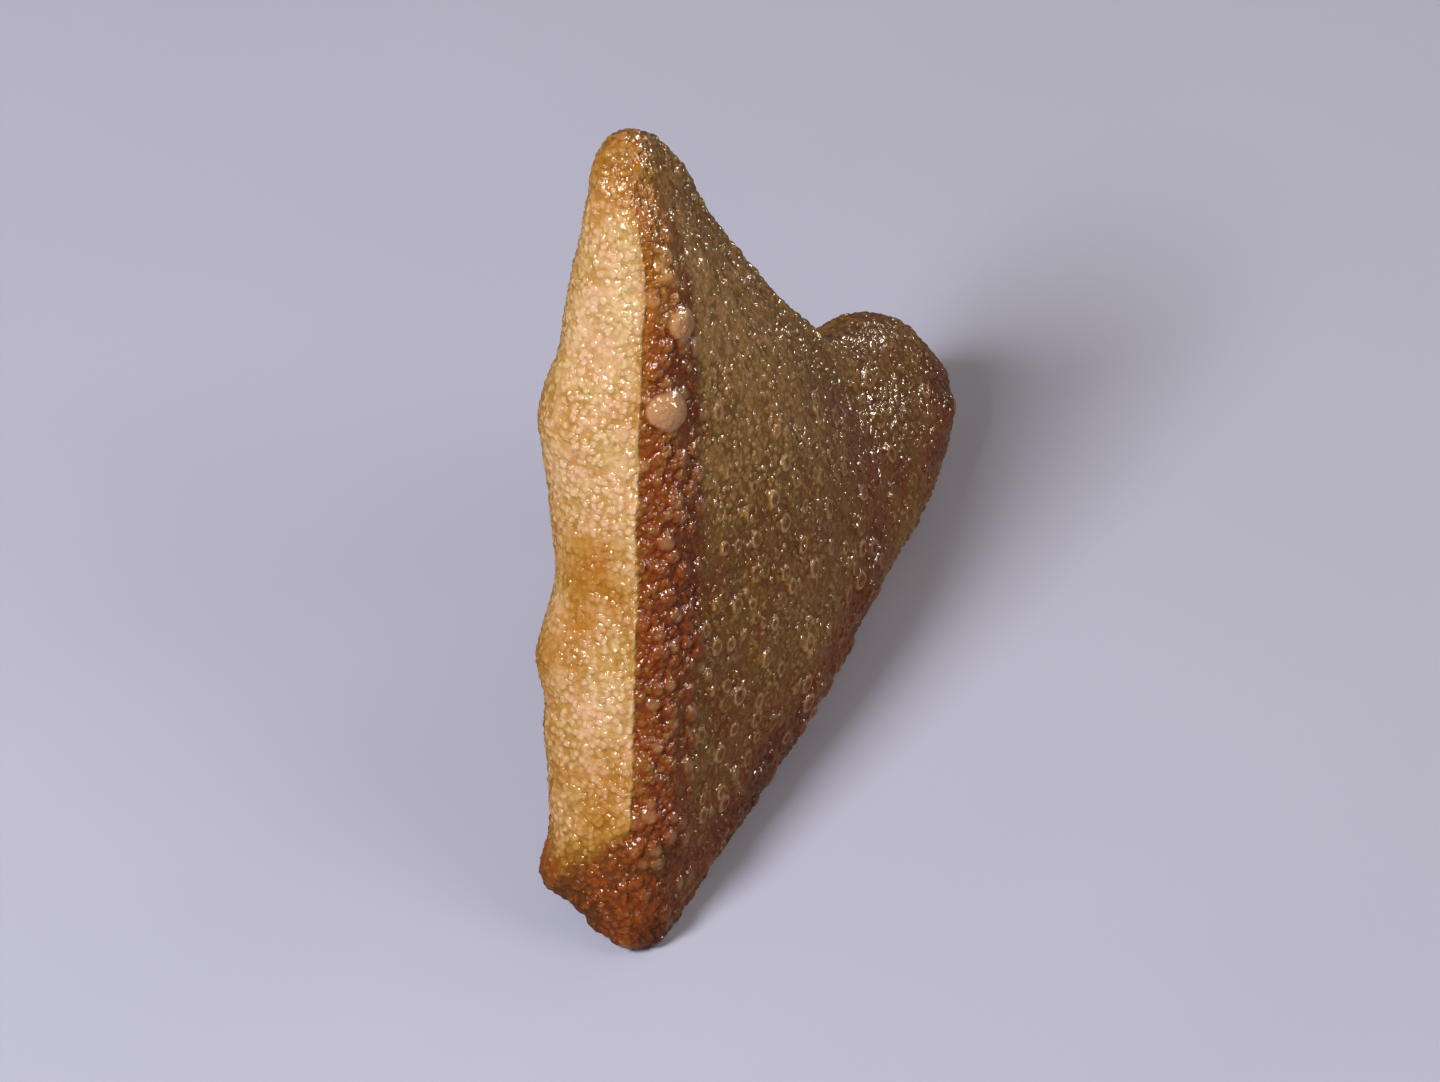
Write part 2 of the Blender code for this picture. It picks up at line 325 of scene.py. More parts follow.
    def tighten_flap(self, cage: bmesh.types.BMesh, back: bmesh.types.BMLayerItem,
                     level: bmesh.types.BMLayerItem) -> None:
        """Draw the two loops beside the flap's cut edge close together.

        Args:
            cage: The parcel's cage.
            back: The layer that holds the back corner's share.
            level: The layer that holds the level.
        """
        low, high = self.flap_loops
        for edge in cage.edges:
            ends = sorted(edge.verts, key=lambda vert: vert[level])
            if max(vert[back] for vert in ends) > ON_RIM:
                continue
            if abs(ends[0][level] - low) > TINY * 10 or abs(ends[1][level] - high) > TINY * 10:
                continue
            across = (ends[1].co - ends[0].co).normalized()
            middle = (ends[0].co + ends[1].co) / 2.0
            wave = noise.noise(Vector((0.0, 0.0, middle.z / self.cut_edge_wave_length)))
            middle += across * self.cut_edge_wave * wave
            half = across * self.flap_loop_gap / 2.0
            ends[0].co = middle - half
            ends[1].co = middle + half


@dataclass
class Crust:
    """The fine mesh's own sheet of numbers: where each vertex lies on the parcel.

    All are arrays with one entry for each vertex; lengths are in millimetres.
    """

    points: np.ndarray
    normals: np.ndarray
    shares: np.ndarray
    level: np.ndarray
    zones: dict[Zone, np.ndarray] = field(default_factory=dict)

    @property
    def along_front(self) -> np.ndarray:
        """Place along the front edge, 0 at the bottom and 1 at the top."""
        return self.shares[:, 2] / (self.shares[:, 0] + self.shares[:, 2] + TINY)

    @property
    def along_ground(self) -> np.ndarray:
        """Place along the bottom edge, 0 at the front and 1 at the back."""
        return self.shares[:, 1] / (self.shares[:, 0] + self.shares[:, 1] + TINY)


@dataclass(frozen=True)
class Spot:
    """A place on the crust: shares of the front, back and top corners, and the level."""

    front: float
    back: float
    top: float
    level: float


@dataclass(frozen=True)
class Swelling:
    """One large blister where steam lifted the skin, in millimetres; pale is how light it stayed."""

    spot: Spot
    radius: float
    height: float
    pale: float


@dataclass(frozen=True)
class Lump:
    """One broad rise or hollow of the dough, in millimetres; a hollow has a height below 0."""

    spot: Spot
    radius: float
    height: float


@dataclass(frozen=True)
class Patch:
    """A patch that is darker or lighter than its surroundings, in millimetres; most fried more or less, some carry
    painted shade, and one painted light.

    Its browning value is added to the browning there, and amber to the oily translucence.
    """

    spot: Spot
    radius: float
    browning_and_painted_light: float
    amber: float = 0.0


@dataclass(frozen=True)
class BlisterCrop:
    """Blisters of one size, scattered over the crust, in millimetres.

    height is a share of the radius, spacing of the radius too, and sunken of the height: how far the
    middle of each blister has fallen in. pale says how light its skin is; where the middle has fallen
    in, it is laid on the rim alone, as a painted highlight where the thin clear skin would catch the light.
    """

    name: str
    seed: int
    tries: int
    radius: tuple[float, float]
    height: float
    spacing: float
    sunken: float
    pale: float
    zones: dict[Zone, float]


@dataclass
class Samosa:
    """The samosa: one folded parcel of dough, fried until it blistered."""

    form: ParcelForm = field(default_factory=ParcelForm)
    subdivisions: int = 3
    flap_thickness: float = 0.26
    flap_end: float = 0.105
    flap_end_slant: float = 0.10
    flap_end_width: float = 0.012
    flap_hidden_width: float = 0.30
    strip_share: float = 0.045
    knob_share: float = 0.56
    heart_height: float = 0.35
    strip_depth: float = 0.20
    swellings: tuple[Swelling, ...] = (
        Swelling(Spot(0.205, 0.0, 0.795, 0.86), 2.2, 1.2, 0.8),
        Swelling(Spot(0.315, 0.0, 0.685, 0.62), 2.7, 1.5, 0.9),
        Swelling(Spot(0.235, 0.01, 0.755, 1.0), 1.4, 0.8, 0.7),
    )
    lumps: tuple[Lump, ...] = (
        Lump(Spot(0.66, 0.0, 0.34, -0.70), 4.6, 1.3),
        Lump(Spot(0.76, 0.0, 0.24, -0.62), 3.0, 0.7),
        Lump(Spot(0.54, 0.0, 0.46, -0.75), 4.5, -1.0),
        Lump(Spot(0.34, 0.0, 0.66, -0.80), 7.0, 2.2),
        Lump(Spot(0.94, 0.0, 0.06, -0.80), 3.6, 2.2),
        Lump(Spot(0.36, 0.62, 0.02, 1.0), 2.6, 1.3),
        Lump(Spot(0.10, 0.0, 0.90, 0.35), 3.0, 0.5),
        Lump(Spot(0.05, 0.0, 0.95, 0.55), 1.8, -0.7),
        Lump(Spot(0.01, 0.0, 0.99, 0.9), 2.2, 0.6),
    )
    crops: tuple[BlisterCrop, ...] = (
        BlisterCrop("ridge blisters", 31, 500, (0.4, 0.85), 0.6, 1.5, 0.0, 0.4, {Zone.BACK_EDGE: 1.0}),
        BlisterCrop("glassy blisters", 11, 260, (0.7, 1.3), 0.62, 1.4, 0.3, 0.7, {
            Zone.STRIP: 1.6, Zone.FRONT_TIP: 0.5, Zone.BOTTOM_EDGE: 0.3}),
        # Ring blisters: their pale rims are a painted highlight.
        BlisterCrop("ring blisters", 21, 300, (0.65, 1.45), 0.55, 1.7, 0.8, 1.0, {
            Zone.LOWER_FACE: 1.4, Zone.SHOWN_FACE: 0.12, Zone.BOTTOM_EDGE: 0.8, Zone.KNOB: 0.3,
            Zone.HIDDEN_FACE: 0.15}),
        BlisterCrop("small blisters", 12, 1500, (0.4, 0.75), 0.6, 2.0, 0.3, 0.35, {
            Zone.STRIP: 1.5, Zone.SHOWN_FACE: 0.5, Zone.LOWER_FACE: 0.9, Zone.BOTTOM_EDGE: 1.0, Zone.KNOB: 0.9,
            Zone.HIDDEN_FACE: 0.6, Zone.BAND: 0.06, Zone.TOP_TIP: 0.8, Zone.FRONT_TIP: 1.2,
            Zone.BACK_EDGE: 0.8}),
        BlisterCrop("beads", 13, 30000, (0.24, 0.42), 0.55, 1.5, 0.0, 0.3, {
            Zone.STRIP: 1.0, Zone.SHOWN_FACE: 0.8, Zone.LOWER_FACE: 0.5, Zone.BOTTOM_EDGE: 0.7, Zone.KNOB: 1.0,
            Zone.HIDDEN_FACE: 0.8, Zone.BAND: 1.8, Zone.TOP_TIP: 1.4, Zone.FRONT_TIP: 1.0,
            Zone.BACK_EDGE: 1.0}),
    )
    patches: tuple[Patch, ...] = (
        Patch(Spot(0.55, 0.0, 0.45, -0.20), 5.0, 0.16, 0.5),
        Patch(Spot(0.56, 0.0, 0.44, 0.15), 4.0, 0.18, 0.6),
        Patch(Spot(0.66, 0.0, 0.34, -0.70), 6.0, 0.16, 0.6),
        Patch(Spot(0.84, 0.0, 0.16, 0.0), 4.0, 0.08, 0.5),
        Patch(Spot(0.77, 0.0, 0.23, 0.1), 3.5, 0.06, 0.4),
        Patch(Spot(0.90, 0.0, 0.10, 0.0), 7.0, 0.14, 0.2),
        Patch(Spot(0.03, 0.0, 0.97, 0.1), 8.0, 0.08, 0.4),
        # Paler at the top of the strip: partly a lighter fry, partly painted light where the strip turns to the
        # lamp.
        Patch(Spot(0.12, 0.0, 0.88, 0.75), 9.0, -0.20, 0.10),
        # These three darken the valley between the face and the knob: partly browning, partly painted shade in the
        # hollow.
        Patch(Spot(0.03, 0.68, 0.29, 1.0), 7.0, 0.16),
        Patch(Spot(0.16, 0.70, 0.14, 1.0), 9.0, 0.12),
        Patch(Spot(0.30, 0.62, 0.08, 1.0), 6.0, 0.08),
        # These two darken the knob's underside: partly browning, partly painted shade towards the floor.
        Patch(Spot(0.0, 0.99, 0.01, 0.7), 8.0, 0.16),
        Patch(Spot(0.10, 0.90, 0.0, 0.9), 8.0, 0.30),
        # The dark lobe at the front corner: partly browning, partly painted shade where the fold opens.
        Patch(Spot(0.94, 0.0, 0.06, -0.80), 8.5, 0.60, 0.2),
        Patch(Spot(0.97, 0.03, 0.0, 0.5), 6.0, 0.20),
    )

    def fine_mesh(self) -> bpy.types.Mesh:
        """Subdivide the cage.

        Returns:
            The fine mesh, still carrying the cage's shares and level.
        """
        cage = self.form.cage()
        coarse = bpy.data.meshes.new("samosa_cage")
        cage.to_mesh(coarse)
        cage.free()
        holder = bpy.data.objects.new("samosa_cage", coarse)
        bpy.context.scene.collection.objects.link(holder)
        smoother = holder.modifiers.new("smooth", "SUBSURF")
        smoother.levels = smoother.render_levels = self.subdivisions
        graph = bpy.context.evaluated_depsgraph_get()
        fine = bpy.data.meshes.new_from_object(holder.evaluated_get(graph), preserve_all_data_layers=True,
                                               depsgraph=graph)
        bpy.data.objects.remove(holder)
        bpy.data.meshes.remove(coarse)
        return fine

    def read_crust(self, mesh: bpy.types.Mesh) -> Crust:
        """Read the fine mesh's places into arrays.

        Args:
            mesh: The fine mesh, in millimetres.

        Returns:
            The crust's arrays, with its zones.
        """
        columns = []
        for name in ("front", "back", "top", "level"):
            column = np.empty(len(mesh.vertices), dtype=np.float32)
            mesh.attributes[name].data.foreach_get("value", column)
            columns.append(column.astype(float))
        shares = np.clip(np.column_stack(columns[:3]), 0.0, 1.0)
        crust = Crust(read_vectors(mesh.vertices, "co"), read_vectors(mesh.vertex_normals, "vector"), shares,
                      columns[3])
        self.mark_zones(crust)
        return crust

    def inner_edge(self, crust: Crust) -> np.ndarray:
        """Return the back corner's share at which the flap ends on the hidden face, which wavers."""
        return self.flap_hidden_width * (1.0 + 0.08 * np.sin(crust.along_front * 9.0))

    def flap_cover(self, crust: Crust) -> np.ndarray:
        """Say where the flap lies over the dough below it, 0 or 1 with a narrow step."""
        form = self.form
        back = crust.shares[:, 1]
        cut = 1.0 - rise(form.flap_level - 0.012, form.flap_level + 0.012, crust.level)
        wrapped = cut * (back < ON_RIM)
        inner_edge = self.inner_edge(crust)
        laid_over = (crust.level < -0.999) * (back >= ON_RIM) * (1.0 - rise(inner_edge - 0.004, inner_edge + 0.004,
                                                                          back))
        end = self.flap_end + self.flap_end_slant * np.clip(crust.level, -0.6, 0.3)
        open_end = rise(-self.flap_end_width, self.flap_end_width, crust.along_front - end)
        return (wrapped + laid_over) * open_end

    def mark_zones(self, crust: Crust) -> None:
        """Weigh the zones at each vertex, together 1."""
        front, back, top = crust.shares.T
        level = crust.level
        on_rim = crust.shares.min(axis=1) < ON_RIM
        on_front = (back < ON_RIM) & on_rim
        inward = back * 75.0 * (1.0 + 0.6 * wander(crust.points, 4.0, 8.0))
        cover = self.flap_cover(crust)
        strip = np.clip(on_front * (1.0 - cover) * (level > 0.0) + (level > 0.999) * hump(inward, 2.0), 0.0, 1.0)
        knob = rise(0.62, 0.78, back)
        tip_front = rise(0.86, 0.94, front) * (1.0 - cover)
        tip_top = rise(0.90, 0.97, top)
        ground = np.maximum((top < ON_RIM) * 1.0, hump(top * 80.0, 5.5))
        back_edge = np.maximum(((front < ON_RIM) & on_rim) * 1.0, hump(front * 70.0, 4.5))
        rest = np.ones(len(level))
        for zone, weight in (
                (Zone.TOP_TIP, tip_top), (Zone.FRONT_TIP, tip_front), (Zone.KNOB, knob), (Zone.BAND, cover),
                (Zone.STRIP, strip), (Zone.BOTTOM_EDGE, ground), (Zone.BACK_EDGE, back_edge),
                (Zone.LOWER_FACE, (level > 0.0) * (1.0 - rise(0.34, 0.62, top))),
                (Zone.SHOWN_FACE, (level > 0.0) * 1.0), (Zone.HIDDEN_FACE, (level <= 0.0) * 1.0)):
            crust.zones[zone] = rest * weight
            rest = rest * (1.0 - weight)

    def find_spot(self, crust: Crust, spot: Spot) -> int:
        """Return the vertex nearest to a spot."""
        wanted = np.array((spot.front, spot.back, spot.top))
        miss = ((crust.shares - wanted) ** 2).sum(axis=1) + 0.02 * (crust.level - spot.level) ** 2
        return int(np.argmin(miss))

    def slow_relief(self, crust: Crust) -> np.ndarray:
        """Work out the flap's step, the sunken strip and the crust's slow unevenness, in millimetres."""
        cover = self.flap_cover(crust)
        front, back, top = crust.shares.T
        on_front = (back < ON_RIM)
        fade = 1.0 - rise(self.form.flap_level, 1.0, crust.level)
        strip = (crust.level > self.form.flap_level) * on_front * fade * (1.0 - crust.along_front ** 8)
        lumps = 0.34 * wander(crust.points, 9.0, 1.0) + 0.20 * wander(crust.points, 4.2, 2.0)
        wrinkles = 0.12 * wander(crust.points, 1.7, 3.0, (1.0, 1.0, 3.0)) * crust.zones[Zone.SHOWN_FACE]
        for lump in self.lumps:
            centre = crust.points[self.find_spot(crust, lump.spot)]
            lumps += lump.height * hump(np.linalg.norm(crust.points - centre, axis=1), lump.radius)
        thinned = 1.0 - 0.8 * rise(0.8, 0.95, crust.along_front)
        return self.flap_thickness * cover * thinned - self.strip_depth * strip + lumps + wrinkles

    def blister(self, crust: Crust) -> tuple[np.ndarray, np.ndarray, np.ndarray]:
        """Raise the swellings and the scattered blisters.

        Args:
            crust: The crust's arrays, with its slow relief in place.

        Returns:
            Heights in millimetres, how pale each vertex is on a blister's top, and on a ring blister's rim
            where the paleness is a painted highlight, and how taut its skin is stretched, both from 0 to 1.
        """
        count = len(crust.points)
        tree = KDTree(count)
        for index, point in enumerate(crust.points.tolist()):
            tree.insert(point, index)
        tree.balance()
        heights = np.zeros(count)
        pale_tops_and_rim_highlight = np.zeros(count)
        taut = np.zeros(count)
        taken = np.zeros(count, dtype=bool)
        for swelling in self.swellings:
            centre = crust.points[self.find_spot(crust, swelling.spot)]
            found = tree.find_range(centre, swelling.radius * 1.3)
            index = np.array([entry[1] for entry in found])
            uneven = 1.0 + 0.16 * wander(crust.points[index], 2.6, 9.0)
            share = np.array([entry[2] for entry in found]) / (swelling.radius * uneven)
            dome = np.sqrt(np.clip(1.0 - share ** 2, 0.0, 1.0))
            heights[index] = np.maximum(heights[index], swelling.height * dome)
            pale_tops_and_rim_highlight[index] = np.maximum(pale_tops_and_rim_highlight[index], swelling.pale * rise(0.0, 0.6, dome))
            taut[index] = np.maximum(taut[index], rise(0.1, 0.6, dome))
            taken[index[share < 1.0]] = True
        for crop in self.crops:
            self.scatter(crop, crust, tree, taken, heights, pale_tops_and_rim_highlight)
        return heights, pale_tops_and_rim_highlight, taut

    def scatter(self, crop: BlisterCrop, crust: Crust, tree: KDTree, taken: np.ndarray, heights: np.ndarray,
                pale_tops_and_rim_highlight: np.ndarray) -> None:
        """Scatter one crop of blisters and add them to the heights.

        Args:
            crop: The blisters' size and where they grow.
            crust: The crust's arrays.
            tree: The crust's points, for finding neighbours.
            taken: Vertices that carry a blister already; changed in place.
            heights: Heights in millimetres; changed in place.
            pale_tops_and_rim_highlight: How pale each vertex is on a blister's top, with a painted highlight on
                ring blisters' rims; changed in place.
        """
        dice = np.random.default_rng(crop.seed)
        weights = sum(crust.zones[zone] * share for zone, share in crop.zones.items())
        weights = np.clip(weights, 0.0, None)
        chosen = dice.choice(len(weights), size=crop.tries, replace=True, p=weights / weights.sum())
        radii = dice.uniform(*crop.radius, size=crop.tries)
        blocked = taken.copy()
        grown = 0
        for centre, radius in zip(chosen.tolist(), radii.tolist()):
            if blocked[centre]:
                continue
            found = tree.find_range(crust.points[centre], radius * crop.spacing)
            index = np.array([entry[1] for entry in found])
            share = np.array([entry[2] for entry in found]) / radius
            if crop.sunken > 0.5:
                share *= 1.0 + 0.16 * wander(crust.points[index], 1.6, 4.0)
            blocked[index] = True
            inside = share < 1.0
            index, share = index[inside], share[inside]
            dome = np.sqrt(1.0 - share ** 2)
            fallen = crop.sunken * dice.uniform(0.7, 1.1)
            profile = dome * (1.0 - fallen * hump(share, 0.62))
            heights[index] = np.maximum(heights[index], crop.height * radius * profile)
            # Ring blisters get a pale rim, a painted highlight; the others are pale on top, where the skin is thin.
            rim = hump(share - 0.72, 0.22)
            skin = crop.pale * dice.uniform(0.55, 1.0) * (rim if crop.sunken > 0.5 else dome)
            pale_tops_and_rim_highlight[index] = np.maximum(pale_tops_and_rim_highlight[index], skin)
            taken[index] = True
            grown += 1
        LOG.info("%s: %d", crop.name, grown)

    def brown(self, crust: Crust) -> dict[str, np.ndarray]:
        """Decide how far each part of the crust has fried, with painted shade and painted light mixed in where
        marked.

        Returns:
            The values for the finish, by name, each from 0 to 1.
        """
        # Browning by zone. The lower face and the bottom edge are darker partly from frying and partly as painted
        # shade towards the floor.
        browning_and_painted_light_by_zone = {
            Zone.BAND: 0.13, Zone.STRIP: 0.66, Zone.SHOWN_FACE: 0.30, Zone.LOWER_FACE: 0.51,
            Zone.HIDDEN_FACE: 0.36, Zone.BOTTOM_EDGE: 0.76, Zone.BACK_EDGE: 0.40, Zone.KNOB: 0.41,
            Zone.FRONT_TIP: 0.64, Zone.TOP_TIP: 0.30}
        browning_and_painted_light = sum(crust.zones[zone] * value for zone, value in browning_and_painted_light_by_zone.items())
        front, back, top = crust.shares.T
        browning_and_painted_light = browning_and_painted_light + 0.16 * hump(crust.along_front - 0.0, 0.12) * crust.zones[Zone.BAND]
        browning_and_painted_light = browning_and_painted_light + 0.22 * hump(back - 1.0, 0.08)
        gutter = hump(crust.level - self.form.flap_level - 0.03, 0.08) * (back < ON_RIM)
        gutter *= rise(0.55, 0.8, crust.along_front)
        browning_and_painted_light = browning_and_painted_light + 0.12 * gutter
        browning_and_painted_light = browning_and_painted_light + 0.14 * rise(0.35, 0.9, -crust.level) * crust.zones[Zone.BAND]
        # A darker line just beyond the flap's edge on the hidden face: partly browning, partly painted shade under
        # the flap's step.
        seam_browning_and_shade = hump(back - self.inner_edge(crust) - 0.012, 0.02) * crust.zones[Zone.HIDDEN_FACE]
        browning_and_painted_light = browning_and_painted_light + 0.24 * seam_browning_and_shade
        browning_and_painted_light = browning_and_painted_light + 0.10 * wander(crust.points, 12.0, 5.0)
        ragged = 1.0 + 0.7 * wander(crust.points, 5.0, 7.0)
        amber = 0.35 * rise(0.1, 0.6, wander(crust.points, 9.0, 6.0)) * crust.zones[Zone.BAND] + 0.5 * gutter
        for patch in self.patches:
            centre = crust.points[self.find_spot(crust, patch.spot)]
            inside = hump(np.linalg.norm(crust.points - centre, axis=1) * ragged, patch.radius * 0.75)
            browning_and_painted_light = browning_and_painted_light + patch.browning_and_painted_light * inside
            amber = amber + patch.amber * inside
        rust = sum(crust.zones[zone] * value for zone, value in (
            (Zone.STRIP, 0.45), (Zone.FRONT_TIP, 0.35), (Zone.KNOB, 0.35), (Zone.TOP_TIP, 0.2),
            (Zone.BOTTOM_EDGE, 0.2)))
        return {"browning_and_painted_light": np.clip(browning_and_painted_light, 0.0, 1.0), "amber": np.clip(amber, 0.0, 1.0),
                "rust": np.clip(rust, 0.0, 1.0)}

    def stand(self, base: np.ndarray, points: np.ndarray) -> np.ndarray:
        """Lean the parcel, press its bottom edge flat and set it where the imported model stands.

        Args:
            base: The smooth form, which says how far to move.
            points: The form with its relief, which is moved.

        Returns:
            The moved points, in metres.
        """
        turn = np.array(Matrix.Rotation(-self.form.lean, 3, "Y"))
        turned_base, turned = base @ turn.T, points @ turn.T
        drop = turned_base[:, 2].min() + self.form.sink
        turned_base[:, 2] -= drop
        turned[:, 2] -= drop
        low, high = turned_base.min(axis=0), turned_base.max(axis=0)
        lowest, highest = (np.array(corner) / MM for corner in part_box(NODE))
        turned[:, :2] += ((lowest + highest) / 2.0 - (low + high) / 2.0)[:2]
        turned[:, 2] = np.maximum(turned[:, 2], 0.0)
        return turned * MM

    def sculpt(self, mesh: bpy.types.Mesh) -> Crust:
        """Give the fine mesh its relief, its place and its numbers for the finish.

        Args:
            mesh: The fine mesh, which is changed.

        Returns:
            The crust's arrays, for cutting the mesh into its pieces.
        """
        crust = self.read_crust(mesh)
        smooth_normals = crust.normals
        base = crust.points + smooth_normals * (self.flap_thickness * self.flap_cover(crust))[:, None]
        crust.points = crust.points + smooth_normals * self.slow_relief(crust)[:, None]
        heights, pale_tops_and_rim_highlight, taut = self.blister(crust)
        relief = crust.points + smooth_normals * heights[:, None]
        values = self.brown(crust)
        values["blister"] = pale_tops_and_rim_highlight
        values["taut"] = taut
        mesh.vertices.foreach_set("co", self.stand(base, relief).ravel())
        for name in ("front", "back", "top", "level"):
            mesh.attributes.remove(mesh.attributes[name])
        for name, value in values.items():
            layer = mesh.attributes.new(name, "FLOAT", "POINT")
            layer.data.foreach_set("value", value.astype(np.float32))
        mesh.polygons.foreach_set("use_smooth", np.ones(len(mesh.polygons), dtype=bool))
        mesh.update()
        return crust

    def share_out(self, mesh: bpy.types.Mesh, crust: Crust) -> dict[str, np.ndarray]:
        """Share the faces out among the pieces, along lines where the crust changes anyway.

        Args:
            mesh: The fine mesh.
            crust: The crust's arrays.

        Returns:
            A mask over the mesh's faces for each piece, by the piece's name.
        """
        corners = np.empty(len(mesh.loops), dtype=np.int32)
        mesh.loops.foreach_get("vertex_index", corners)
        corners = corners.reshape(-1, 4)
        flap = self.flap_cover(crust)[corners].mean(axis=1) > 0.5
        far = (crust.level[corners].mean(axis=1) < -0.3) & ~flap
        back = crust.shares[corners, 1].mean(axis=1)
        strip = (back < self.strip_share) & ~flap & ~far
        knob = (back > self.knob_share) & ~far
        face = ~(flap | far | strip | knob)
        return {"wrapped_flap": flap, "blistered_strip": strip, "shown_face": face, "back_knob": knob,
                "far_side": far}

    def cut_out(self, name: str, mesh: bpy.types.Mesh, keep: np.ndarray) -> bpy.types.Object:
        """Cut one piece out of the sculpted crust and close it inside.

        Args:
            name: The piece's name.
            mesh: The sculpted crust.
            keep: A mask over its faces.

        Returns:
            The piece, closed.
        """
        part = bmesh.new()
        part.from_mesh(mesh)
        others = [face for face, kept in zip(part.faces, keep.tolist()) if not kept]
        bmesh.ops.delete(part, geom=others, context="FACES")
        rims = [edge for edge in part.edges if edge.is_boundary]
        for edge in rims:
            edge.smooth = False
        lowest, highest = (Vector(corner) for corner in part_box(NODE))
        inside = (lowest + highest) / 2.0
        inside.z = lowest.z + (highest.z - lowest.z) * self.heart_height
        turned_in = bmesh.ops.extrude_edge_only(part, edges=rims)["geom"]
        for face in turned_in:
            if isinstance(face, bmesh.types.BMFace):
                face.smooth = False
        inner = [vert for vert in turned_in if isinstance(vert, bmesh.types.BMVert)]
        bmesh.ops.pointmerge(part, verts=inner, merge_co=inside)
        bmesh.ops.recalc_face_normals(part, faces=part.faces)
        piece_mesh = bpy.data.meshes.new(name)
        part.to_mesh(piece_mesh)
        part.free()
        piece = bpy.data.objects.new(name, piece_mesh)
        bpy.context.scene.collection.objects.link(piece)
        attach(piece, "root")
        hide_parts(NODE)
        return piece

    def build(self) -> list[bpy.types.Object]:
        """Build the samosa and dress it.

        Returns:
            The finished pieces.
        """
        mesh = self.fine_mesh()
        crust = self.sculpt(mesh)
        finish = FriedDough().material()
        pieces = []
        for name, keep in self.share_out(mesh, crust).items():
            piece = self.cut_out(name, mesh, keep)
            piece.data.materials.clear()
            piece.data.materials.append(finish)
            pieces.append(piece)
            LOG.info("%s: %d vertices, %d faces", name, len(piece.data.vertices), len(piece.data.polygons))
        bpy.data.meshes.remove(mesh)
        return pieces


def read_vectors(items: bpy.types.bpy_prop_collection, name: str) -> np.ndarray:
    """Read a vector property of every item as one array."""
    flat = np.empty(len(items) * 3, dtype=np.float32)
    items.foreach_get(name, flat)
    return flat.reshape(-1, 3).astype(float)


@dataclass(frozen=True)
class Cloud:
    """A cloudy field: how wide its clouds are, how finely they are broken up, and which slice it is."""

    size_mm: float
    detail: float
    roughness: float
    slice: float


